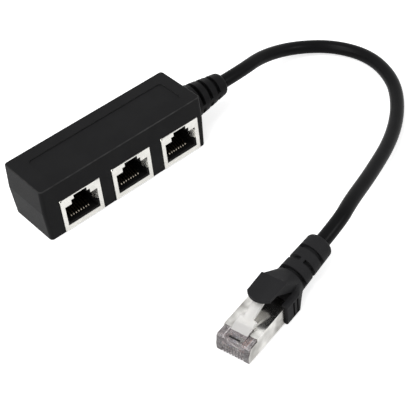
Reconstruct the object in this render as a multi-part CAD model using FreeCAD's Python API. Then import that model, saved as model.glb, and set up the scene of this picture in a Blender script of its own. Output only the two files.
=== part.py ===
import FreeCAD, Part
import math
import os

# Network splitter adapter: three shielded 8P8C jacks in one drafted moulding, fed by a short
# round cable with a shielded plug on its far end. Millimetres. The origin is the centre of the
# moulding's bottom face, +X runs towards the cable, the jacks open towards -Y, +Z is up.

# Moulded housing, drafted both ways from the parting plane
body_length = 67.8
body_back_depth = 11.2
body_front_depth = 10.2
body_height = 21.6
parting_height = 12.0
draft_deg = 2.4
side_fillet = 1.3
rim_fillet = 0.5

# Shallow label recess in the top face
recess_depth = 0.3
recess_corner = 1.5
recess_margin_left = 6.5
recess_margin_right = 5.0
recess_half_width = 5.7

# Cable and its outlet in the end face
cable_d = 5.0
cable_y = 1.2
cable_z = 10.6
wire_d = 0.8
wire_count = 8
bundle_pitch = 1.0
bundle_rise = 1.4

# Strain relief in one piece with the housing
relief_length = 18.2
relief_root_r = 7.1
relief_tip_r = 4.1
relief_core_r = 3.4
relief_slot = 1.5
relief_slot_first = 4.45
relief_slot_pitch = 4.0
relief_slots = 3
relief_web = 1.6
relief_web_turn = 90.0
relief_round = 1.7

# Jack, measured from its own front face and underside
jack_count = 3
jack_pitch = 21.2
jack_middle_x = 1.7
jack_width = 16.1
jack_height = 13.4
jack_depth = 15.8
jack_floor = 0.6
jack_proud = 0.3
shield_t = 0.3
shield_seam = 0.6

# Window in the front of the jack's shield
window_width = 13.1
window_bottom = 1.86
window_top = 9.9
window_step_width = 7.6
window_step_top = 11.6
window_notch_width = 5.3
window_notch_top = 13.0

# Grounding fingers folded in at both sides of the window
finger_bottom = 5.2
finger_height = 3.8
finger_reach = 1.1
finger_crest = 2.2
finger_fall = 4.3
finger_fall_reach = 0.6
finger_length = 6.2
finger_t = 0.25
finger_room = 0.3
finger_side_room = 0.1

# Insulating insert inside the shield
insert_gap = 0.05
cavity_width = 11.9
cavity_bottom = 2.6
cavity_top = 9.5
cavity_depth = 12.3
key_width = 6.6
key_top = 12.4
key_depth = 10.0
key_mouth_width = 4.6
key_mouth_step_width = 7.0
key_mouth_step_top = 11.2
key_ledge = 1.6
lane_width = 0.6
lane_floor = 0.95
lane_front_room = 0.6
peg_d = 2.6
peg_offset = 5.9
peg_depth = 6.8

# Sprung contact wires of a jack
contact_count = 8
contact_pitch = 1.016
contact_w = 0.36
contact_t = 0.3
contact_low = 1.25
contact_turn_x = 3.3
contact_turn_r = 0.75
contact_gate = 0.7
contact_rise_deg = 24.0
contact_tip = 11.4
contact_rows = (14.5, 12.95)
tail_proud = 1.0

# Shield tails soldered into the board
shield_tail_w = 1.6
shield_tail_at = 9.4

# Circuit board above the jacks
board_t = 1.6
board_front_margin = 1.6
board_back_margin = 2.2
board_left_margin = 3.4
board_right_margin = 2.45

# Wires of the cable, flat in the end wall, over the board's end and down to their pads
jacket_end = 4.2
ribbon_pitch = 1.05
ribbon_wall = 1.95
ribbon_rise = 0.8
ribbon_over = 2.35
ribbon_gap = 0.1
pad_inset = 5.9

# Plug, along its own X from the nose towards the cable, Z above the ground
plug_x = -23.55
plug_y = -88.64
plug_yaw_deg = 12.8
plug_width = 11.9
plug_bottom = 0.8
plug_height = 6.4
plug_length = 21.5
plug_sheet = 0.2
plug_shield_front = 4.7
plug_shield_bottom_front = 8.4
plug_cheek_front = 1.3
plug_cheek_drop = 1.1
plug_nose_drop = 0.4
plug_nose_chamfer = 0.5
plug_front_height = 2.4
cheek_inset = 0.1
plug_cable_z = 4.0
plug_wire_z = 4.2
plug_fan_start = 7.6
plug_jacket_start = 12.6
plug_rear_wall = 1.0
cavity_gap = 0.1

# Latch of the plug, a living hinge in one piece with its body
latch_root = 1.6
latch_hinge = 3.2
latch_proud = 0.2
latch_t = 1.06
latch_wide = 6.0
latch_wide_end = 8.9
latch_narrow = 3.3
latch_end = 17.3
latch_rise_deg = 20.0
latch_gate_width = 6.5
latch_gate_end = 7.2
latch_gate_floor = 5.8

# Blade contacts of the plug
blade_t = 0.3
blade_front = 0.9
blade_length = 5.6
blade_recess = 0.45
blade_round = 0.5
blade_lane = 0.5
blade_lane_height = 1.9

# Boot over the rear of the plug
collar_front = 19.0
collar_rear = 25.6
collar_half_width = 6.9
collar_height = 7.9
collar_round = 0.8
collar_window = 4.9
hood_tip = 12.7
hood_square = 14.6
hood_front_half = 4.1
hood_rear = 22.9
hood_height = 13.6
hood_t = 1.2
hood_half_width = 4.5
hood_round = 1.2
hood_foot = 1.0
hood_slope_start = 17.9
hood_slope_end = 24.8
grip_slot = 0.8
grip_depth = 0.5
grip_places = (0.52, 0.82)
grip_margin = 1.2
crimp_length = 3.2

# Ringed neck of the boot, which leans up and aside with the cable in it
neck_start = 30.0
neck_z = 5.25
neck_pitch_deg = 11.5
neck_yaw_deg = -5.0
neck_sunk = 1.5
neck_length = 16.8
neck_root_r = 5.2
neck_tip_r = 4.45
neck_core_r = 3.5
neck_slot = 1.4
neck_slot_first = 1.0
neck_slot_pitch = 4.6
neck_slots = 3
neck_web = 1.4
neck_web_turn = 15.0
neck_round = 1.6
bend_start = 8.0
bend_end = 28.3

# Free cable, from the strain relief round to the boot
exit_run = 9.5
cable_points = [
    (75.0, 4.6, 8.2),
    (90.3, 3.7, 4.2),
    (102.5, -5.4, 2.6),
    (107.0, -20.0, 2.5),
    (102.4, -35.5, 2.5),
    (91.5, -48.0, 2.8),
    (76.4, -58.7, 4.2),
    (56.5, -68.1, 7.6),
    (39.7, -74.8, 10.4),
]

# Sizes that follow from the ones above
half_length = body_length / 2
end_x = half_length
front_y = -body_front_depth - jack_proud
jack_top = jack_floor + jack_height
board_top = jack_top + board_t
tail_top = board_top + tail_proud
ribbon_low = cable_z + ribbon_rise
ribbon_high = board_top + ribbon_over
insert_half = jack_width / 2 - shield_t - insert_gap
insert_low = shield_t + insert_gap
insert_high = jack_height - shield_t
insert_back = jack_depth - shield_t - insert_gap
plug_top = plug_bottom + plug_height
crimp_r = cable_d / 2 + plug_sheet
relief_tip = (end_x + relief_length, cable_y, cable_z)
plug_axis = (math.cos(math.radians(plug_yaw_deg)), math.sin(math.radians(plug_yaw_deg)))
neck_level = math.cos(math.radians(neck_pitch_deg))
neck_axis = (
    neck_level * math.cos(math.radians(neck_yaw_deg)),
    neck_level * math.sin(math.radians(neck_yaw_deg)),
    math.sin(math.radians(neck_pitch_deg)),
)
overcut = 1.0


def vec(x, y, z):
    return FreeCAD.Vector(x, y, z)


def block(x0, x1, y0, y1, z0, z1):
    return Part.makeBox(x1 - x0, y1 - y0, z1 - z0, vec(x0, y0, z0))


def prism(points, direction):
    """Solid of a closed outline of points, pushed along a vector."""
    wire = Part.makePolygon([vec(*p) for p in points] + [vec(*points[0])])
    return Part.Face(wire).extrude(direction)


def rounded_outline(x0, x1, y0, y1, r, z):
    """Closed wire of a rectangle with round corners in the plane z."""
    c = r * (1 - math.sqrt(0.5))
    lines = [
        ((x0 + r, y0), (x1 - r, y0)),
        ((x1, y0 + r), (x1, y1 - r)),
        ((x1 - r, y1), (x0 + r, y1)),
        ((x0, y1 - r), (x0, y0 + r)),
    ]
    middles = [(x1 - c, y0 + c), (x1 - c, y1 - c), (x0 + c, y1 - c), (x0 + c, y0 + c)]
    edges = []
    for i, (start, end) in enumerate(lines):
        after = lines[(i + 1) % 4][0]
        edges.append(Part.LineSegment(vec(*start, z), vec(*end, z)).toShape())
        edges.append(Part.Arc(vec(*end, z), vec(*middles[i], z), vec(*after, z)).toShape())
    return Part.Wire(edges)


def frustum(low, high, z0, z1):
    """Six plane faces between two rectangles (x0, x1, y0, y1) at two heights."""
    corners = []
    for (x0, x1, y0, y1), z in ((low, z0), (high, z1)):
        corners.append([vec(x0, y0, z), vec(x1, y0, z), vec(x1, y1, z), vec(x0, y1, z)])
    quads = [corners[0][::-1], corners[1]]
    for i in range(4):
        j = (i + 1) % 4
        quads.append([corners[0][i], corners[0][j], corners[1][j], corners[1][i]])
    faces = [Part.Face(Part.makePolygon(q + [q[0]])) for q in quads]
    return Part.makeSolid(Part.makeShell(faces))


def edges_where(shape, test):
    return [e for e in shape.Edges if test(e)]


def edge_is_upright(edge):
    a, b = edge.Vertexes[0].Point, edge.Vertexes[-1].Point
    return abs(a.z - b.z) > 0.9 * (a - b).Length


def edge_is_at(edge, z):
    return all(abs(v.Point.z - z) < 1e-4 for v in edge.Vertexes)


def tapered_rod(x0, x1, r0, r1, z, y=0.0):
    """Cone or cylinder along +X."""
    if abs(r0 - r1) < 1e-6:
        return Part.makeCylinder(r0, x1 - x0, vec(x0, y, z), vec(1, 0, 0))
    return Part.makeCone(r0, r1, x1 - x0, vec(x0, y, z), vec(1, 0, 0))


def ring_slot(x0, width, core_r, outer_r, z, y, web, web_turn):
    """Ring groove down to a core, crossed by two webs that keep the bands together."""
    ring = tapered_rod(x0, x0 + width, outer_r, outer_r, z, y)
    ring = ring.cut(tapered_rod(x0 - overcut, x0 + width + overcut, core_r, core_r, z, y))
    bar = block(x0 - overcut, x0 + width + overcut, -web / 2, web / 2, -2 * outer_r, 2 * outer_r)
    bar.rotate(vec(0, 0, 0), vec(1, 0, 0), web_turn)
    bar.translate(vec(0, y, z))
    return ring.cut(bar)


def round_path(points, share=0.45):
    """Straight runs joined by tangent arcs, each as large as its two runs allow."""
    points = [vec(*p) for p in points]
    edges = []
    radii = []
    start = points[0]
    for before, corner, after in zip(points, points[1:], points[2:]):
        a = before - corner
        b = after - corner
        reach = share * min(a.Length, b.Length)
        turn = math.pi - a.getAngle(b)
        radius = reach / math.tan(turn / 2)
        radii.append((radius, math.degrees(turn)))
        first = corner + a.normalize() * reach
        last = corner + b.normalize() * reach
        inward = (a + b).normalize()
        middle = corner + inward * (radius / math.cos(turn / 2) - radius)
        edges.append(Part.LineSegment(start, first).toShape())
        edges.append(Part.Arc(first, middle, last).toShape())
        start = last
    edges.append(Part.LineSegment(start, points[-1]).toShape())
    return Part.Wire(edges), radii


def wire_run(points):
    """One insulated wire in straight runs with mitred corners."""
    path = Part.makePolygon([vec(*p) for p in points])
    start, after = vec(*points[0]), vec(*points[1])
    circle = Part.Circle(start, after - start, wire_d / 2).toShape()
    return path.makePipeShell([Part.Wire([circle])], True, False, 1)


def drafted_body():
    """Both halves of the moulding share one outline at the parting plane."""
    lean = math.tan(math.radians(draft_deg))
    mid = (-half_length, half_length, -body_front_depth, body_back_depth)
    halves = []
    for z in (0.0, body_height):
        pull = abs(z - parting_height) * lean
        face = (mid[0] + pull, mid[1] - pull, mid[2], mid[3] - pull)
        if z < parting_height:
            half = frustum(face, mid, z, parting_height)
        else:
            half = frustum(mid, face, parting_height, z)
        half = half.makeFillet(side_fillet, edges_where(half, edge_is_upright))
        half = half.makeFillet(rim_fillet, edges_where(half, lambda e: edge_is_at(e, z)))
        halves.append(half)
    return halves[0].fuse(halves[1]).removeSplitter()


def label_recess():
    x0 = -half_length + recess_margin_left
    x1 = half_length - recess_margin_right
    low = body_height - recess_depth
    outline = rounded_outline(x0, x1, -recess_half_width, recess_half_width, recess_corner, low)
    return Part.Face(outline).extrude(vec(0, 0, recess_depth + overcut))


def relief_solid():
    """Tapered strain relief whose slots let it bend, rounded at its tip."""
    root_x, tip_x = end_x - side_fillet, relief_tip[0]
    solid = tapered_rod(root_x, tip_x, relief_root_r, relief_tip_r, cable_z, cable_y)
    rim = edges_where(solid, lambda e: abs(e.BoundBox.XMin - tip_x) < 1e-4)
    solid = solid.makeFillet(relief_round, rim)
    outer_r = relief_root_r + overcut
    for i in range(relief_slots):
        x0 = end_x + relief_slot_first + i * relief_slot_pitch
        solid = solid.cut(ring_slot(
            x0, relief_slot, relief_core_r, outer_r, cable_z, cable_y, relief_web, relief_web_turn,
        ))
    return solid


def jack_x(n):
    return jack_middle_x + (n - (jack_count - 1) / 2) * jack_pitch


def jack_to_row(shape, n):
    """Jack coordinates are (across, depth from the front, height above its underside)."""
    shape.translate(vec(jack_x(n), front_y, jack_floor))
    return shape


def window_outline(bottom, top, width, step_width, step_top, notch_width, notch_top, y):
    steps = [(width, bottom), (width, top), (step_width, top), (step_width, step_top)]
    steps += [(notch_width, step_top), (notch_width, notch_top)]
    right = [(w / 2, y, z) for w, z in steps]
    left = [(-x, y, z) for x, y, z in reversed(right)]
    return right + left


def grounding_finger(side):
    """Sheet finger that is folded back from the window's edge and bulges into the cavity."""
    edge = window_width / 2 + shield_t
    outer = [
        (edge, 0.0),
        (edge - shield_t, 0.0),
        (window_width / 2 - finger_reach, finger_crest),
        (window_width / 2 - finger_fall_reach, finger_fall),
        (window_width / 2, finger_length),
    ]
    inner = [(x + finger_t, y) for x, y in reversed(outer[1:])]
    inner[-1] = (edge, shield_t)
    outline = [(side * x, y, finger_bottom) for x, y in outer + inner]
    return prism(outline, vec(0, 0, finger_height))


def contact_x(i):
    return (i - (contact_count - 1) / 2) * contact_pitch


def contact_row(i):
    return contact_rows[i % 2]


def peg_places():
    return [(side * peg_offset, peg_depth) for side in (-1, 1)]


def shield_tails():
    """Two soldered tails, as the top of the shield's side walls."""
    tails = []
    for side in (-1, 1):
        x = side * (jack_width / 2 - shield_t / 2)
        y0 = shield_tail_at
        z1 = jack_height + board_t + tail_proud
        tails.append(
            block(x - shield_t / 2, x + shield_t / 2, y0, y0 + shield_tail_w, jack_height - shield_t, z1)
        )
    return tails


def jack_shield(n):
    half = jack_width / 2
    wall = half - shield_t
    roof = jack_height - shield_t
    shell = block(-half, half, 0, jack_depth, 0, jack_height)
    inner = block(-wall, wall, shield_t, jack_depth - shield_t, shield_t, roof)
    outline = window_outline(
        window_bottom, window_top, window_width, window_step_width, window_step_top,
        window_notch_width, window_notch_top, -overcut,
    )
    window = prism(outline, vec(0, shield_t + overcut + insert_gap / 2, 0))
    row_half = contact_count * contact_pitch / 2 + contact_w
    row_front = min(contact_rows) - contact_gate
    tails_gate = block(
        -row_half, row_half, row_front, jack_depth + overcut, roof - shield_t, jack_height + overcut
    )
    seam = block(
        -half - overcut, -half + shield_seam, -overcut, shield_t,
        jack_height - shield_seam, jack_height + overcut,
    )
    shell = shell.cut([inner, window, tails_gate, seam])
    for x, y in peg_places():
        shell = shell.cut(Part.makeCylinder(peg_d / 2, jack_height, vec(x, y, jack_height - 2 * shield_t)))
    parts = [grounding_finger(side) for side in (-1, 1)] + shield_tails()
    shell = shell.fuse(parts).removeSplitter()
    return jack_to_row(shell, n)


def finger_relief(side):
    """Room in the insert's cheek for a finger that is pressed flat."""
    x0 = cavity_width / 2 - overcut
    x1 = window_width / 2 + shield_t + finger_side_room
    low, high = sorted((side * x0, side * x1))
    z0 = finger_bottom - finger_room
    z1 = finger_bottom + finger_height + finger_room
    return block(low, high, -overcut, finger_length + finger_room, z0, z1)


def jack_insert(n):
    half = insert_half
    solid = block(-half, half, insert_low, insert_back, insert_low, insert_high)
    half_cavity = cavity_width / 2
    cuts = [block(-half_cavity, half_cavity, -overcut, cavity_depth, cavity_bottom, cavity_top)]
    mouth = window_outline(
        cavity_bottom, cavity_top, cavity_width, key_mouth_step_width, key_mouth_step_top,
        key_mouth_width, key_top, -overcut,
    )
    ledge_back = insert_low + key_ledge
    cuts.append(prism(mouth, vec(0, overcut + ledge_back, 0)))
    half_key = key_width / 2
    cuts.append(block(-half_key, half_key, ledge_back, key_depth, cavity_top - overcut, key_top))
    lane_front = contact_turn_x - contact_turn_r - lane_front_room
    for i in range(contact_count):
        x0 = contact_x(i) - lane_width / 2
        x1 = x0 + lane_width
        back = contact_row(i) + lane_width / 2
        cuts.append(block(x0, x1, lane_front, back, lane_floor, cavity_bottom + overcut))
        cuts.append(block(x0, x1, back - lane_width, back, lane_floor, insert_high + overcut))
    for side in (-1, 1):
        cuts.append(finger_relief(side))
    solid = solid.cut(cuts)
    top = jack_height + board_t
    for x, y in peg_places():
        peg = Part.makeCylinder(peg_d / 2, top - insert_high + shield_t, vec(x, y, insert_high - shield_t))
        solid = solid.fuse(peg)
    return jack_to_row(solid.removeSplitter(), n)


def contact_path(i):
    """Tail in the board, down the back, forward under the cavity, round and back up into it."""
    x = contact_x(i)
    row = contact_row(i)
    rise = math.radians(contact_rise_deg)
    low = contact_low
    turn = vec(x, contact_turn_x, low + contact_turn_r)
    tail = vec(x, row, jack_height + board_t + tail_proud)
    corner = vec(x, row, low)
    nose = vec(x, contact_turn_x, low)
    front = turn + vec(0, -math.cos(rise / 2), math.sin(rise / 2)) * contact_turn_r
    leave = turn + vec(0, -math.sin(rise), math.cos(rise)) * contact_turn_r
    reach = (contact_tip - leave.y) / math.cos(rise)
    tip = leave + vec(0, math.cos(rise), math.sin(rise)) * reach
    return [
        Part.LineSegment(tail, corner).toShape(),
        Part.LineSegment(corner, nose).toShape(),
        Part.Arc(nose, front, leave).toShape(),
        Part.LineSegment(leave, tip).toShape(),
    ]


def jack_contact(n, i):
    edges = contact_path(i)
    tail = edges[0].Vertexes[0].Point
    w, t = contact_w / 2, contact_t / 2
    corners = [(-w, -t), (w, -t), (w, t), (-w, t)]
    points = [tail + vec(a, b, 0) for a, b in corners]
    profile = Part.makePolygon(points + [points[0]])
    solid = Part.Wire(edges).makePipeShell([profile], True, False, 1)
    return jack_to_row(solid, n)


def contact_tail(n, i):
    """Section of a contact's tail, from the jack's top through the board."""
    x = jack_x(n) + contact_x(i)
    y = front_y + contact_row(i)
    w, t = contact_w / 2, contact_t / 2
    return block(x - w, x + w, y - t, y + t, jack_top, tail_top)


def board_blank():
    x0 = -half_length + board_left_margin
    x1 = half_length - board_right_margin
    y0 = -body_front_depth + board_front_margin
    y1 = body_back_depth - board_back_margin
    return block(x0, x1, y0, y1, jack_top, board_top)


def circuit_board():
    """Board whose holes are filled by the tails and pegs that are soldered and pressed in."""
    cuts = []
    for n in range(jack_count):
        cuts += [contact_tail(n, i) for i in range(contact_count)]
        cuts += [jack_to_row(tail, n) for tail in shield_tails()]
        for x, y in peg_places():
            at = vec(jack_x(n) + x, front_y + y, jack_top)
            cuts.append(Part.makeCylinder(peg_d / 2, board_t, at))
    return board_blank().cut(cuts)


def bundle_place(i):
    """Four wires side by side in two layers."""
    column = i // 2
    layer = i % 2
    return (column - (wire_count / 2 - 1) / 2) * bundle_pitch, (layer - 0.5) * bundle_rise


def housing_wire(i):
    """From the end of the jacket, up inside the end wall and over the board to its pad."""
    across, up = bundle_place(i)
    y = cable_y + (i - (wire_count - 1) / 2) * ribbon_pitch
    start = (end_x + jacket_end, cable_y + across, cable_z + up)
    return wire_run([start] + [(x, y, z) for x, z in ribbon_places()])


def ribbon_places():
    """Corners of the flat run in side view: foot and head of the wall, then the pads."""
    wall_x = end_x - ribbon_wall
    return [(wall_x, ribbon_low), (wall_x, ribbon_high), (end_x - pad_inset, board_top + wire_d / 2)]


def ribbon_room():
    """Flat room that the eight wires fill in the moulding, with a funnel to the jacket."""
    foot, head, pad = ribbon_places()
    gap = wire_d / 2 + ribbon_gap
    half = ribbon_pitch * (wire_count - 1) / 2 + gap
    y0 = cable_y - half
    roof = head[1] + gap + ribbon_gap
    side = [
        (foot[0] + gap, ribbon_low - gap),
        (foot[0] + gap, roof),
        (foot[0] - gap, roof),
        (pad[0] - gap, pad[1] + gap),
        (pad[0] - gap, board_top),
        (foot[0] - gap, board_top),
        (foot[0] - gap, ribbon_low - gap),
    ]
    flat = prism([(x, y0, z) for x, z in side], vec(0, 2 * half, 0))
    deep = bundle_rise / 2 + gap
    low, high = cable_z - deep, cable_z + deep
    jacket_x = end_x + jacket_end
    plan = [
        (foot[0] - gap, cable_y - half), (jacket_x, cable_y - cable_d / 2),
        (jacket_x, cable_y + cable_d / 2), (foot[0] - gap, cable_y + half),
    ]
    funnel = prism([(x, y, low) for x, y in plan], vec(0, 0, high - low))
    return flat.fuse(funnel)


def free_cable():
    """The whole cable: its free route, with a straight lead into the relief and a bent one
    through the boot down to the middle of the plug."""
    ahead = (relief_tip[0] + exit_run, cable_y, cable_z)
    boot_tip = plug_point(*neck_point(neck_length))
    behind = plug_point(*neck_point(neck_length + exit_run))
    path, radii = round_path([relief_tip, ahead] + cable_points + [behind, boot_tip])
    start = vec(end_x + jacket_end, cable_y, cable_z)
    lead_in = Part.LineSegment(start, vec(*relief_tip)).toShape()
    lead_out = round_path([
        boot_tip,
        plug_point(*neck_point(bend_start)),
        plug_point(bend_end, 0, plug_cable_z),
        plug_point(plug_jacket_start, 0, plug_cable_z),
    ])[0]
    whole = Part.Wire([lead_in] + path.Edges + lead_out.Edges)
    circle = Part.Circle(start, vec(1, 0, 0), cable_d / 2).toShape()
    solid = whole.makePipeShell([Part.Wire([circle])], True, False, 2)
    ideal = math.pi * (cable_d / 2) ** 2 * whole.Length
    print("cable free length %.1f mm, whole %.1f mm" % (path.Length, whole.Length))
    print("cable volume %.1f, section times length %.1f" % (solid.Volume, ideal))
    for radius, turn in radii:
        print("  arc radius %.1f mm, turn %.1f degrees" % (radius, turn))
    return solid


def plug_point(x, y, z):
    c, s = plug_axis
    return (plug_x + c * x - s * y, plug_y + s * x + c * y, z)


def neck_point(along):
    """Point on the leaning axis of the boot's neck, in the plug's coordinates."""
    return neck_start + along * neck_axis[0], along * neck_axis[1], neck_z + along * neck_axis[2]


def plug_to_row(shape):
    shape.rotate(vec(0, 0, 0), vec(0, 0, 1), plug_yaw_deg)
    shape.translate(vec(plug_x, plug_y, 0))
    return shape


def plug_envelope():
    half = plug_width / 2
    return block(plug_shield_front, plug_length, -half, half, plug_bottom, plug_top)


def plug_side_outline():
    """Side view of the plug's body: sloped front, lower nose, room for the shield behind it."""
    nose_top = plug_top - plug_nose_drop
    rear = plug_length - plug_rear_wall
    return [
        (0.0, plug_bottom),
        (0.0, plug_bottom + plug_front_height),
        (plug_nose_chamfer, nose_top - plug_nose_chamfer),
        (2 * plug_nose_chamfer, nose_top),
        (plug_shield_front, nose_top),
        (plug_shield_front, plug_top - plug_sheet),
        (rear, plug_top - plug_sheet),
        (rear, plug_bottom + plug_sheet),
        (plug_shield_bottom_front, plug_bottom + plug_sheet),
        (plug_shield_bottom_front, plug_bottom),
    ]


def latch_solid():
    """Arm that rises from the nose, wide as far as its lock shoulders and narrow behind them."""
    slope = math.tan(math.radians(latch_rise_deg))
    top = plug_top - plug_nose_drop + latch_proud
    end_top = top + (latch_end - latch_hinge) * slope
    side = [
        (latch_root, latch_gate_floor),
        (latch_root, top),
        (latch_hinge, top),
        (latch_end, end_top),
        (latch_end, end_top - latch_t),
        (latch_hinge + latch_proud, top - latch_t),
        (latch_hinge + latch_proud, latch_gate_floor),
    ]
    half = latch_wide / 2
    arm = prism([(x, -half, z) for x, z in side], vec(0, latch_wide, 0))
    step = (latch_wide - latch_narrow) / 2
    for y0 in (-half - overcut, half - step):
        arm = arm.cut(
            block(latch_wide_end, latch_end + overcut, y0, y0 + step + overcut, plug_bottom, hood_height)
        )
    return arm


def latch_gate():
    """Room in the top of the body and of the shield for the latch when it is pressed."""
    half = latch_gate_width / 2
    x0 = latch_hinge + latch_proud
    return block(x0, latch_gate_end, -half, half, latch_gate_floor, plug_top + overcut)


def plug_wire_y(i):
    return (i - (wire_count - 1) / 2) * contact_pitch


def wire_cavity():
    """Flat slot over the blades, then a funnel back to the bore for the cable's jacket."""
    row = contact_pitch * (wire_count - 1) / 2 + wire_d / 2 + cavity_gap
    slot_half = wire_d / 2 + cavity_gap
    slot = block(blade_front, plug_fan_start, -row, row, plug_wire_z - slot_half, plug_wire_z + slot_half)
    fan = [
        (plug_fan_start, -row),
        (plug_jacket_start, -cable_d / 2),
        (plug_jacket_start, cable_d / 2),
        (plug_fan_start, row),
    ]
    deep = bundle_rise + wire_d + 2 * cavity_gap
    funnel = prism([(x, y, plug_cable_z - deep / 2) for x, y in fan], vec(0, 0, deep))
    bore = tapered_rod(plug_jacket_start, plug_length, cable_d / 2, cable_d / 2, plug_cable_z)
    return [slot, funnel, bore]


def plug_body():
    half = plug_width / 2 - plug_sheet
    body = prism([(x, -half, z) for x, z in plug_side_outline()], vec(0, 2 * half, 0))
    body = body.cut(latch_gate()).fuse(latch_solid())
    cuts = wire_cavity()
    for i in range(wire_count):
        y = plug_wire_y(i)
        low = plug_bottom - overcut
        room = (y - blade_t / 2, y + blade_t / 2, low, plug_wire_z)
        lane = (y - blade_lane / 2, y + blade_lane / 2, low, plug_bottom + blade_lane_height)
        cuts.append(block(blade_front, blade_front + blade_length, *room))
        cuts.append(block(-overcut, blade_front, *lane))
    return plug_to_row(body.cut(cuts).removeSplitter())


def plug_blade(i):
    """Blade that stands with its front corner rounded under one wire."""
    y = plug_wire_y(i)
    z0 = plug_bottom + blade_recess
    z1 = plug_wire_z - wire_d / 2
    blade = block(blade_front, blade_front + blade_length, y - blade_t / 2, y + blade_t / 2, z0, z1)
    front_low = edges_where(
        blade, lambda e: edge_is_at(e, z0) and e.BoundBox.XMax < blade_front + 1e-4
    )
    return plug_to_row(blade.makeFillet(blade_round, front_low))


def plug_wire(i):
    """Wire from above its blade back to the end of the jacket."""
    y = plug_wire_y(i)
    across, up = bundle_place(i)
    return plug_to_row(wire_run([
        (blade_front, y, plug_wire_z),
        (plug_fan_start, y, plug_wire_z),
        (plug_jacket_start - cavity_gap, across, plug_cable_z + up),
    ]))


def plug_shield():
    """Folded sheet sleeve with cheeks that reach forward, and a crimped barrel on the jacket."""
    half = plug_width / 2
    t = plug_sheet
    sleeve = plug_envelope()
    cheek = [
        (plug_shield_front, plug_bottom),
        (cheek_inset, plug_bottom),
        (cheek_inset, plug_bottom + plug_front_height),
        (plug_cheek_front, plug_top - plug_cheek_drop),
        (plug_shield_front, plug_top - plug_cheek_drop),
    ]
    for y0 in (-half, half - t):
        sleeve = sleeve.fuse(prism([(x, y0, z) for x, z in cheek], vec(0, t, 0)))
    barrel = tapered_rod(plug_length - t, plug_length + crimp_length, crimp_r, crimp_r, plug_cable_z)
    sleeve = sleeve.fuse(barrel)
    inner = block(-overcut, plug_length - t, -half + t, half - t, plug_bottom + t, plug_top - t)
    gate = block(
        -overcut, plug_shield_bottom_front, -half + t, half - t, plug_bottom - overcut, plug_bottom + 2 * t
    )
    bore = tapered_rod(
        plug_length - 2 * t, plug_length + crimp_length + overcut, cable_d / 2, cable_d / 2, plug_cable_z
    )
    return plug_to_row(sleeve.cut([inner, gate, bore, latch_gate()]).removeSplitter())


def section_outline(x, half, z0, z1, r):
    """Rounded rectangle across the plug's axis, as eight edges."""
    c = r * (1 - math.sqrt(0.5))
    lines = [
        ((-half + r, z0), (half - r, z0)),
        ((half, z0 + r), (half, z1 - r)),
        ((half - r, z1), (-half + r, z1)),
        ((-half, z1 - r), (-half, z0 + r)),
    ]
    middles = [(half - c, z0 + c), (half - c, z1 - c), (-half + c, z1 - c), (-half + c, z0 + c)]
    edges = []
    for i, (start, end) in enumerate(lines):
        after = lines[(i + 1) % 4][0]
        edges.append(Part.LineSegment(vec(x, *start), vec(x, *end)).toShape())
        edges.append(Part.Arc(vec(x, *end), vec(x, *middles[i]), vec(x, *after)).toShape())
    return Part.Wire(edges)


def round_section(x, r, z, angles):
    """Circle across the plug's axis, cut at the given angles into arcs."""
    edges = []
    spans = list(zip(angles, angles[1:] + [angles[0] + 360.0]))
    for a, b in spans:
        points = []
        for t in (a, (a + b) / 2, b):
            points.append(vec(x, r * math.cos(math.radians(t)), z + r * math.sin(math.radians(t))))
        edges.append(Part.Arc(*points).toShape())
    return Part.Wire(edges)


def boot_shoulder(x, half, z0, z1, r):
    """Loft from a rounded rectangle to the neck's round section."""
    angles = [250.0, 290.0, 340.0, 380.0, 430.0, 470.0, 520.0, 560.0]
    first = section_outline(x, half, z0, z1, r)
    last = round_section(neck_start, neck_root_r, neck_z, angles)
    return Part.makeLoft([first, last], True, True)


def boot_hood():
    """Tongue over the latch with a round tip, as deep as the collar behind it."""
    front, half = hood_front_half, hood_half_width
    low = plug_top
    tip = Part.Arc(vec(hood_square, -front, low), vec(hood_tip, 0, low), vec(hood_square, front, low))
    corners = [(hood_square, front), (hood_rear, half), (hood_rear, -half), (hood_square, -front)]
    edges = [tip.toShape()]
    for a, b in zip(corners, corners[1:]):
        edges.append(Part.LineSegment(vec(*a, low), vec(*b, low)).toShape())
    return Part.Face(Part.Wire(Part.__sortEdges__(edges))).extrude(vec(0, 0, hood_height - low))


def under_hood():
    """Room for the latch under the tongue, which slopes down to the collar's roof behind it."""
    low = hood_height - hood_t
    side = [
        (hood_tip - overcut, plug_top),
        (hood_tip - overcut, low),
        (hood_slope_start, low),
        (hood_slope_end, collar_height),
        (hood_slope_end, plug_top),
    ]
    return prism([(x, -collar_window, z) for x, z in side], vec(0, 2 * collar_window, 0))


def boot_neck():
    """Neck with slots that are bridged in turn at its sides and above and below."""
    neck = tapered_rod(-neck_sunk, neck_length, neck_root_r, neck_tip_r, 0)
    rim = edges_where(neck, lambda e: abs(e.BoundBox.XMin - neck_length) < 1e-4)
    neck = neck.makeFillet(neck_round, rim)
    outer_r = neck_root_r + overcut
    for i in range(neck_slots):
        x0 = neck_slot_first + i * neck_slot_pitch
        turn = neck_web_turn + 90.0 * ((i + 1) % 2)
        neck = neck.cut(ring_slot(x0, neck_slot, neck_core_r, outer_r, 0, 0, neck_web, turn))
    neck.rotate(vec(0, 0, 0), vec(0, 1, 0), -neck_pitch_deg)
    neck.rotate(vec(0, 0, 0), vec(0, 0, 1), neck_yaw_deg)
    neck.translate(vec(neck_start, 0, neck_z))
    return neck


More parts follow.
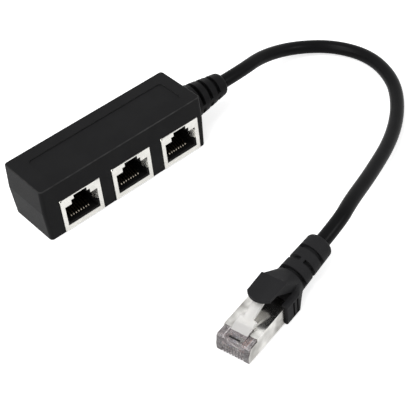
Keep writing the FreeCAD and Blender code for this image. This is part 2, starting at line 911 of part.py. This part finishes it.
def boot(cable):
    """Moulded boot: collar round the plug, hood over its latch, ringed neck round the cable."""
    half = collar_half_width
    collar = block(collar_front, collar_rear, -half, half, 0, collar_height)
    long_edges = [e for e in collar.Edges if abs(e.Length - (collar_rear - collar_front)) < 1e-4]
    collar = collar.makeFillet(collar_round, long_edges)
    low_loft = boot_shoulder(collar_rear, half, 0, collar_height, collar_round)
    high_loft = boot_shoulder(hood_rear, hood_half_width, hood_foot, hood_height, hood_round)
    solid = collar.fuse([low_loft, high_loft, boot_hood(), boot_neck()])
    crimp = tapered_rod(plug_length - overcut, plug_length + crimp_length, crimp_r, crimp_r, plug_cable_z)
    cuts = [under_hood(), plug_envelope(), crimp]
    for place in grip_places:
        x0 = collar_front + place * (collar_rear - collar_front) - grip_slot / 2
        for y0 in (-half - overcut, half - grip_depth):
            y1 = y0 + grip_depth + overcut
            cuts.append(block(x0, x0 + grip_slot, y0, y1, grip_margin, collar_height - grip_margin))
    return plug_to_row(solid.cut(cuts)).cut(cable).removeSplitter()


def moulded_housing(inner):
    """Moulding with its strain relief, cast round the assembly inside it."""
    body = drafted_body().fuse(relief_solid())
    body = body.cut(label_recess())
    for piece in inner:
        body = body.cut(piece)
    return body.removeSplitter().Solids[0]


def housing_inner(cable):
    """What the housing is cast round: jacks, tails, board, wires and the cable's end."""
    inner = [board_blank(), cable, ribbon_room()]
    half = jack_width / 2
    for n in range(jack_count):
        inner.append(jack_to_row(block(-half, half, 0, jack_depth, 0, jack_height), n))
        inner += [contact_tail(n, i) for i in range(contact_count)]
        inner += [jack_to_row(tail, n) for tail in shield_tails()]
    return inner


def build():
    parts = {}
    for n in range(jack_count):
        parts["jack_%d_shield" % (n + 1)] = jack_shield(n)
        parts["jack_%d_insert" % (n + 1)] = jack_insert(n)
        for i in range(contact_count):
            parts["jack_%d_contact_%d" % (n + 1, i + 1)] = jack_contact(n, i)
    parts["circuit_board"] = circuit_board()
    parts["cable"] = free_cable()
    for pair in range(wire_count // 2):
        both = (2 * pair, 2 * pair + 1)
        housing_pair = Part.makeCompound([housing_wire(i) for i in both])
        plug_pair = Part.makeCompound([plug_wire(i) for i in both])
        parts["housing_wire_pair_%d" % (pair + 1)] = housing_pair.cut(parts["cable"])
        parts["plug_wire_pair_%d" % (pair + 1)] = plug_pair.cut(parts["cable"])
    parts["plug_body"] = plug_body()
    parts["plug_shield"] = plug_shield()
    for i in range(wire_count):
        parts["plug_contact_%d" % (i + 1)] = plug_blade(i)
    parts["plug_boot"] = boot(parts["cable"])
    parts["moulded_housing"] = moulded_housing(housing_inner(parts["cable"]))
    return parts


def main():
    os.makedirs("parts", exist_ok=True)
    for name, shape in build().items():
        solids = len(shape.Solids)
        print("%-24s solids %d valid %s volume %.1f" % (name, solids, shape.isValid(), shape.Volume))
        shape.exportStep("parts/%s.step" % name)


main()
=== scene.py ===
"""Looks of a network splitter adapter: moulded PVC box, round cable and booted plug.

Metres, in the frame of the CAD model: the origin is the centre of the box's bottom face,
+X runs towards the cable, the sockets open towards -Y, +Z is up.
"""
import math

import bpy
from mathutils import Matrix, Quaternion, Vector

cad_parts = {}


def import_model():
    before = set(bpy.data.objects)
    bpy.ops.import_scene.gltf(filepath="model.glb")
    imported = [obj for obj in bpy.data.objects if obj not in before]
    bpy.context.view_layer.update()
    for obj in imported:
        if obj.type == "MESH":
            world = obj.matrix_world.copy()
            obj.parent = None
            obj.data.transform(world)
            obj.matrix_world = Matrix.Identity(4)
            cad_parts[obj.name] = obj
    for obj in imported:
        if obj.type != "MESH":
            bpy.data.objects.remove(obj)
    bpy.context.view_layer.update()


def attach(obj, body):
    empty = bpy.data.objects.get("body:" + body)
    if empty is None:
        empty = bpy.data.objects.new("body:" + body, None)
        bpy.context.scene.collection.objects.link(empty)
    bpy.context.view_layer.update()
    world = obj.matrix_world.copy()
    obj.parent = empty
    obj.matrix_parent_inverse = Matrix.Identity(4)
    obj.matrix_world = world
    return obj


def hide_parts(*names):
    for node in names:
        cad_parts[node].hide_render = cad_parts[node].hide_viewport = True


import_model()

MM = 0.001

# Camera, as the photograph was taken
CAMERA_PLACE = Vector((-0.15625, -0.26817, 0.27388))
CAMERA_TARGET = Vector((0.01036, -0.03865, 0.00509))
CAMERA_ROLL = math.radians(-7.06)
CAMERA_LENS = 103.6
SENSOR_WIDTH = 36.0

# Cable
CABLE_DIAMETER = 0.005
CABLE_EXIT = (0.0521, 0.0012, 0.0106)
CABLE_ROUTE = [
    (0.0616, 0.0012, 0.0106),
    (0.0750, 0.0046, 0.0082),
    (0.0903, 0.0037, 0.0042),
    (0.1025, -0.0054, 0.0026),
    (0.1070, -0.0200, 0.0025),
    (0.1024, -0.0355, 0.0025),
    (0.0915, -0.0480, 0.0028),
    (0.0764, -0.0587, 0.0042),
    (0.0565, -0.0681, 0.0076),
    (0.0397, -0.0748, 0.0104),
]

# Plug, along its own axis from the nose
PLUG_PLACE = Vector((-0.02355, -0.08864, 0.0))
PLUG_YAW = math.radians(12.8)

# Ringed neck of the boot, from its root on the plug's axis
NECK_START = 0.030
NECK_HEIGHT = 0.00525
NECK_PITCH = math.radians(11.5)
NECK_YAW = math.radians(-5.0)
NECK_LENGTH = 0.0168
NECK_RUN = 0.0095
CABLE_IN_NECK = 0.003

# Painted highlight on the housing's top rim and painted light on its recess's shaded walls: the height above
# which it is painted, how upright a level face's normal is, and its grey
EDGE_LIGHT_ABOVE = 0.0212
LEVEL_NORMAL = 0.93
PAINTED_EDGE_LIGHT = (0.045, 0.045, 0.045)

# Plug's clear plastic: the slot in front of the latch's hinge, painted in as near-black, opaque shade, and
# how clear nose and latch are
HINGE_SLOT_ALONG = 0.00175
HINGE_SLOT_HALF = 0.00028
HINGE_SLOT_HALF_WIDTH = 0.0019
HINGE_SLOT_FLOOR = 0.006
LATCH_ABOVE = 0.0073
CLEAR = 0.86
FROST = 0.45

# Painted shade on the sprung contacts: dark deeper into the jack than this Y, bright towards -Y, and the
# length of the fade between
CONTACT_SHADE_Y = -0.0073
CONTACT_SHADE_FADE = 0.0003

# Floor, a hair under the table plane, and the strengths that eye and mirrors see of it
FLOOR_SIZE = 8.0
FLOOR_DROP = 0.00002
FLOOR_SEEN = 0.62
FLOOR_MIRRORED = 0.20

# World, as eye and mirrors see it and as it lights the object
WORLD_SEEN = 1.0
WORLD_MIRRORED = 1.0
WORLD_LIGHT = 0.50

# Lamps: place, width and height, watts
LAMP_AIM = (0.02, -0.04, 0.0)
SOFTBOXES = {
    "left_softbox": ((-0.70, -0.10, 0.48), (0.7, 0.6), 3.0),
    "top_softbox": ((-0.28, -0.02, 0.80), (0.42, 0.42), 2.2),
    "front_softbox": ((0.39, -0.63, 0.50), (0.16, 0.16), 1.0),
}

JACKS = (1, 2, 3)
CONTACTS = range(1, 9)
WIRE_COLOURS = {
    1: (0.40, 0.21, 0.14),
    2: (0.15, 0.22, 0.16),
    3: (0.15, 0.18, 0.27),
    4: (0.20, 0.13, 0.11),
}


class Shader:
    """One node material, built from its Principled shader outwards."""

    def __init__(self, name):
        self.material = bpy.data.materials.new(name)
        self.material.use_nodes = True
        self.tree = self.material.node_tree
        self.surface = self.tree.nodes["Principled BSDF"]
        self.place = self.node("ShaderNodeTexCoord").outputs["Object"]

    def node(self, kind, **settings):
        made = self.tree.nodes.new(kind)
        for key, value in settings.items():
            setattr(made, key, value)
        return made

    def link(self, output, target):
        self.tree.links.new(output, target)

    def set(self, **values):
        for name, value in values.items():
            self.surface.inputs[name.replace("_", " ")].default_value = value
        return self

    def noise(self, size, detail=2.0, stretch=(1.0, 1.0, 1.0)):
        """Noise whose features are about this size in metres."""
        mapping = self.node("ShaderNodeMapping")
        mapping.inputs["Scale"].default_value = stretch
        texture = self.node("ShaderNodeTexNoise")
        texture.inputs["Scale"].default_value = 1.0 / size
        texture.inputs["Detail"].default_value = detail
        self.link(self.place, mapping.inputs["Vector"])
        self.link(mapping.outputs["Vector"], texture.inputs["Vector"])
        return texture.outputs["Fac"]

    def ramp(self, factor, low, high, low_at=0.3, high_at=0.7):
        ramp = self.node("ShaderNodeValToRGB")
        ramp.color_ramp.elements[0].position = low_at
        ramp.color_ramp.elements[0].color = (*low, 1.0)
        ramp.color_ramp.elements[1].position = high_at
        ramp.color_ramp.elements[1].color = (*high, 1.0)
        self.link(factor, ramp.inputs["Fac"])
        return ramp.outputs["Color"]

    def between(self, factor, low, high):
        span = self.node("ShaderNodeMapRange")
        span.inputs["From Min"].default_value = 0.3
        span.inputs["From Max"].default_value = 0.7
        span.inputs["To Min"].default_value = low
        span.inputs["To Max"].default_value = high
        self.link(factor, span.inputs["Value"])
        return span.outputs["Result"]

    def math(self, operation, *values):
        step = self.node("ShaderNodeMath", operation=operation)
        for socket, value in zip(step.inputs, values):
            if isinstance(value, float):
                socket.default_value = value
            else:
                self.link(value, socket)
        return step.outputs[0]

    def parts(self, vector):
        split = self.node("ShaderNodeSeparateXYZ")
        self.link(vector, split.inputs[0])
        return split.outputs

    def normal(self):
        return self.node("ShaderNodeNewGeometry").outputs["Normal"]

    def mix(self, factor, low, high):
        mix = self.node("ShaderNodeMix", data_type="RGBA")
        self.link(factor, mix.inputs["Factor"])
        for name, colour in (("A", low), ("B", high)):
            if isinstance(colour, tuple):
                mix.inputs[name].default_value = (*colour, 1.0)
            else:
                self.link(colour, mix.inputs[name])
        return mix.outputs["Result"]

    def colour(self, output):
        self.link(output, self.surface.inputs["Base Color"])
        return self

    def roughness(self, output):
        self.link(output, self.surface.inputs["Roughness"])
        return self

    def bump(self, height, depth, strength=1.0):
        bump = self.node("ShaderNodeBump")
        bump.inputs["Distance"].default_value = depth
        bump.inputs["Strength"].default_value = strength
        self.link(height, bump.inputs["Height"])
        self.link(bump.outputs["Normal"], self.surface.inputs["Normal"])
        return self


def painted_edge_light(shader, colour, above):
    """Painted light, broken up by noise, on what isn't level above this height: a painted highlight on the
    top rim and painted light on the recess's shaded walls.
    """
    high = shader.math("GREATER_THAN", shader.parts(shader.place)["Z"], above)
    sloped = shader.math("LESS_THAN", shader.parts(shader.normal())["Z"], LEVEL_NORMAL)
    light_breakup = shader.between(shader.noise(3.0 * MM, detail=4.0), 0.3, 1.0)
    factor = shader.math("MULTIPLY", shader.math("MULTIPLY", high, sloped), light_breakup)
    return shader.mix(factor, colour, PAINTED_EDGE_LIGHT)


def moulded_pvc(name, dark, light, rough, sheen_level, edge_light_above=None):
    """Soft black PVC with the fine spark texture of its mould."""
    shader = Shader(name)
    grain = shader.noise(0.22 * MM, detail=3.0)
    colour = shader.ramp(shader.noise(9.0 * MM), dark, light)
    # painted highlight on the top rim and painted light on the recess's walls
    if edge_light_above:
        colour = painted_edge_light(shader, colour, edge_light_above)
    shader.colour(colour)
    shader.roughness(shader.between(grain, rough - 0.06, rough + 0.06))
    shader.bump(grain, 0.012 * MM, 0.6)
    shader.set(Specular_IOR_Level=sheen_level)
    return shader.material


def extruded_pvc():
    """Smoother jacket of the cable, with faint lines along it."""
    shader = Shader("cable_pvc")
    fine = shader.noise(0.35 * MM, detail=2.0)
    shader.colour(shader.ramp(shader.noise(6.0 * MM), (0.003, 0.003, 0.0033), (0.005, 0.005, 0.0055)))
    shader.roughness(shader.between(fine, 0.28, 0.34))
    shader.bump(fine, 0.006 * MM, 0.5)
    shader.set(Specular_IOR_Level=0.07)
    return shader.material


def sheet_metal(name, dark, light, rough, stretch, patch=3.0 * MM):
    """Plated sheet with faint rolling lines and soft patches; on the plug's nickel shield the wide dark and
    light patches are painted reflection.
    """
    shader = Shader(name)
    lines = shader.noise(1.2 * MM, detail=2.0, stretch=stretch)
    shader.colour(shader.ramp(shader.noise(patch), dark, light, 0.35, 0.6))
    shader.roughness(shader.between(lines, rough - 0.04, rough + 0.05))
    shader.bump(lines, 0.001 * MM, 0.2)
    shader.set(Metallic=1.0)
    return shader.material


def gold_plating(name, shade_from_y=None):
    """Gold, or with the Y given, a spring wire with painted shade: dark deeper into the jack than that Y,
    bright gold only from there on, towards -Y.
    """
    shader = Shader(name)
    fine = shader.noise(0.3 * MM)
    colour = shader.ramp(fine, (0.18, 0.16, 0.13), (0.26, 0.23, 0.19))
    if shade_from_y:
        span = shader.node("ShaderNodeMapRange")
        span.inputs["From Min"].default_value = shade_from_y
        span.inputs["From Max"].default_value = shade_from_y - CONTACT_SHADE_FADE
        shader.link(shader.parts(shader.place)["Y"], span.inputs["Value"])
        # painted shade on the wire deeper into the jack
        shaded = shader.ramp(fine, (0.045, 0.035, 0.022), (0.075, 0.058, 0.036))
        colour = shader.mix(span.outputs["Result"], shaded, colour)
    shader.colour(colour)
    shader.roughness(shader.between(fine, 0.28, 0.36))
    shader.set(Metallic=1.0)
    return shader.material


def black_insert():
    shader = Shader("black_insert")
    fine = shader.noise(0.3 * MM)
    shader.colour(shader.ramp(fine, (0.006, 0.006, 0.006), (0.009, 0.009, 0.009)))
    shader.roughness(shader.between(fine, 0.50, 0.62))
    shader.bump(fine, 0.006 * MM, 0.5)
    shader.set(Specular_IOR_Level=0.08)
    return shader.material


def solder_mask():
    shader = Shader("solder_mask")
    weave = shader.noise(0.4 * MM)
    shader.colour(shader.ramp(weave, (0.015, 0.13, 0.05), (0.025, 0.17, 0.07)))
    shader.roughness(shader.between(weave, 0.30, 0.42))
    return shader.material


def clear_plastic():
    """Clear moulding of the plug: flow marks, a pink cast, painted shade for the slot at its hinge and a
    frosted latch.
    """
    shader = Shader("clear_plastic")
    local = shader.node("ShaderNodeMapping", vector_type="TEXTURE")
    local.inputs["Location"].default_value = PLUG_PLACE
    local.inputs["Rotation"].default_value = (0.0, 0.0, PLUG_YAW)
    shader.link(shader.place, local.inputs["Vector"])
    along, aside, height = shader.parts(local.outputs["Vector"])
    slot_shade = shader.math("COMPARE", along, HINGE_SLOT_ALONG, HINGE_SLOT_HALF)
    slot_shade = shader.math("MULTIPLY", slot_shade, shader.math("COMPARE", aside, 0.0, HINGE_SLOT_HALF_WIDTH))
    slot_shade = shader.math("MULTIPLY", slot_shade, shader.math("GREATER_THAN", height, HINGE_SLOT_FLOOR))
    frosted = shader.math("GREATER_THAN", height, LATCH_ABOVE)
    flow = shader.noise(1.2 * MM, detail=4.0, stretch=(1.0, 0.5, 1.0))
    colour = shader.ramp(flow, (0.52, 0.46, 0.47), (0.95, 0.90, 0.91), 0.4, 0.6)
    colour = shader.mix(frosted, colour, (0.94, 0.93, 0.91))
    # the hinge slot is painted near-black and opaque: painted shade
    shader.colour(shader.mix(slot_shade, colour, (0.01, 0.01, 0.01)))
    clear = shader.math("MULTIPLY_ADD", frosted, FROST - CLEAR, CLEAR)
    solid = shader.math("SUBTRACT", 1.0, slot_shade)
    shader.link(shader.math("MULTIPLY", clear, solid), shader.surface.inputs["Transmission Weight"])
    shader.roughness(shader.between(flow, 0.05, 0.12))
    shader.set(IOR=1.49)
    return shader.material


def wire_plastic(name, colour):
    shader = Shader(name)
    low = tuple(0.85 * c for c in colour)
    fine = shader.noise(0.4 * MM)
    shader.colour(shader.ramp(fine, low, colour))
    shader.roughness(shader.between(fine, 0.38, 0.48))
    return shader.material


def wear(node, material):
    """Give a node of the frame its finish."""
    thing = bpy.data.objects[node]
    thing.data.materials.clear()
    thing.data.materials.append(material)


def dress_nodes():
    housing = moulded_pvc(
        "housing_pvc", (0.0065, 0.0065, 0.007), (0.009, 0.009, 0.0095), 0.42, 0.07, edge_light_above=EDGE_LIGHT_ABOVE,
    )
    wear("moulded_housing", housing)
    wear("plug_boot", moulded_pvc("boot_pvc", (0.012, 0.012, 0.013), (0.017, 0.017, 0.018), 0.58, 0.10))
    wear("circuit_board", solder_mask())
    wear("plug_body", clear_plastic())
    # the nickel's wide dark-to-light patches are painted reflection
    nickel_painted_reflection = sheet_metal(
        "nickel_painted_reflection", (0.34, 0.33, 0.31), (0.90, 0.89, 0.86), 0.17, (0.1, 1.0, 1.0), patch=7.0 * MM,
    )
    wear("plug_shield", nickel_painted_reflection)
    tinned = sheet_metal("tinned_sheet", (0.78, 0.77, 0.73), (0.85, 0.84, 0.80), 0.26, (0.15, 1.0, 1.0))
    insert = black_insert()
    spring_gold_shaded = gold_plating("spring_gold_shaded", CONTACT_SHADE_Y)
    blade_gold = gold_plating("blade_gold")
    for n in JACKS:
        wear("jack_%d_shield" % n, tinned)
        wear("jack_%d_insert" % n, insert)
        for i in CONTACTS:
            wear("jack_%d_contact_%d" % (n, i), spring_gold_shaded)
    for i in CONTACTS:
        wear("plug_contact_%d" % i, blade_gold)
    for pair, colour in WIRE_COLOURS.items():
        coat = wire_plastic("wire_pair_%d" % pair, colour)
        wear("housing_wire_pair_%d" % pair, coat)
        wear("plug_wire_pair_%d" % pair, coat)


def level_axis(yaw):
    """Level unit vector, turned this far from +X."""
    return Vector((math.cos(yaw), math.sin(yaw), 0.0))


def neck_point(along):
    """Point on the axis of the boot's leaning neck, this far from its root."""
    root = PLUG_PLACE + level_axis(PLUG_YAW) * NECK_START + Vector((0.0, 0.0, NECK_HEIGHT))
    lean = level_axis(PLUG_YAW + NECK_YAW) * math.cos(NECK_PITCH) + Vector((0.0, 0.0, math.sin(NECK_PITCH)))
    return tuple(root + lean * along)


def cable():
    """The free cable on one smooth line, from the strain relief round to the boot."""
    points = [CABLE_EXIT] + CABLE_ROUTE
    points += [neck_point(NECK_LENGTH + NECK_RUN), neck_point(NECK_LENGTH - CABLE_IN_NECK)]
    curve = bpy.data.curves.new("cable_line", "CURVE")
    curve.dimensions = "3D"
    curve.bevel_depth = CABLE_DIAMETER / 2
    curve.bevel_resolution = 8
    curve.use_fill_caps = True
    spline = curve.splines.new("NURBS")
    spline.points.add(len(points) - 1)
    for point, place in zip(spline.points, points):
        point.co = (*place, 1.0)
    spline.order_u = 3
    spline.use_endpoint_u = True
    spline.resolution_u = 12
    curve.materials.append(extruded_pvc())
    line = bpy.data.objects.new("cable_run", curve)
    bpy.context.scene.collection.objects.link(line)
    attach(line, "root")
    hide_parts("cable")
    plug_pieces = ["plug_boot", "plug_body", "plug_shield"]
    plug_pieces += ["plug_contact_%d" % i for i in CONTACTS]
    plug_pieces += ["plug_wire_pair_%d" % pair for pair in WIRE_COLOURS]


def seen_white(tree, seen, mirrored, unseen):
    """Strength for the eye, for gloss and clear plastic, and for the soft light on the object."""
    path = tree.nodes.new("ShaderNodeLightPath")
    shine = tree.nodes.new("ShaderNodeMath")
    shine.operation = "MAXIMUM"
    tree.links.new(path.outputs["Is Glossy Ray"], shine.inputs[0])
    tree.links.new(path.outputs["Is Transmission Ray"], shine.inputs[1])
    total = None
    for ray, strength in ((path.outputs["Is Camera Ray"], seen), (shine.outputs[0], mirrored)):
        step = tree.nodes.new("ShaderNodeMath")
        step.operation = "MULTIPLY_ADD"
        tree.links.new(ray, step.inputs[0])
        step.inputs[1].default_value = strength - unseen
        step.inputs[2].default_value = unseen
        if total:
            tree.links.new(total, step.inputs[2])
        total = step.outputs[0]
    return total


def floor():
    """Pale floor that keeps the object's soft shadow."""
    bpy.ops.mesh.primitive_plane_add(size=FLOOR_SIZE, location=(0.0, 0.0, -FLOOR_DROP))
    plane = bpy.context.object
    plane.name = "floor"
    material = bpy.data.materials.new("floor_paper")
    material.use_nodes = True
    tree = material.node_tree
    surface = tree.nodes["Principled BSDF"]
    surface.inputs["Base Color"].default_value = (0.86, 0.86, 0.86, 1.0)
    surface.inputs["Roughness"].default_value = 0.9
    surface.inputs["Specular IOR Level"].default_value = 0.0
    surface.inputs["Emission Color"].default_value = (1.0, 1.0, 1.0, 1.0)
    glow = seen_white(tree, FLOOR_SEEN, FLOOR_MIRRORED, 0.0)
    tree.links.new(glow, surface.inputs["Emission Strength"])
    plane.data.materials.append(material)


def world():
    scene_world = bpy.data.worlds.new("studio")
    scene_world.use_nodes = True
    tree = scene_world.node_tree
    back = tree.nodes["Background"]
    back.inputs["Color"].default_value = (1.0, 1.0, 1.0, 1.0)
    tree.links.new(seen_white(tree, WORLD_SEEN, WORLD_MIRRORED, WORLD_LIGHT), back.inputs["Strength"])
    bpy.context.scene.world = scene_world


def softbox(name, place, aim, size, power):
    light = bpy.data.lights.new(name, "AREA")
    light.shape = "RECTANGLE"
    light.size, light.size_y = size
    light.energy = power
    lamp = bpy.data.objects.new(name, light)
    lamp.location = place
    lamp.rotation_euler = (Vector(aim) - Vector(place)).to_track_quat("-Z", "Y").to_euler()
    bpy.context.scene.collection.objects.link(lamp)


def lamps():
    for name, (place, size, power) in SOFTBOXES.items():
        softbox(name, place, LAMP_AIM, size, power)


def camera():
    lens = bpy.data.cameras.new("camera")
    lens.lens = CAMERA_LENS
    lens.sensor_width = SENSOR_WIDTH
    lens.clip_start = 0.01
    lens.clip_end = 20.0
    eye = bpy.data.objects.new("camera", lens)
    look = (CAMERA_TARGET - CAMERA_PLACE).to_track_quat("-Z", "Y")
    eye.location = CAMERA_PLACE
    eye.rotation_euler = (look @ Quaternion((0.0, 0.0, 1.0), CAMERA_ROLL)).to_euler()
    bpy.context.scene.collection.objects.link(eye)
    bpy.context.scene.camera = eye


def main():
    camera()
    dress_nodes()
    cable()
    floor()
    world()
    lamps()
    bpy.context.scene.view_settings.view_transform = "Standard"


main()
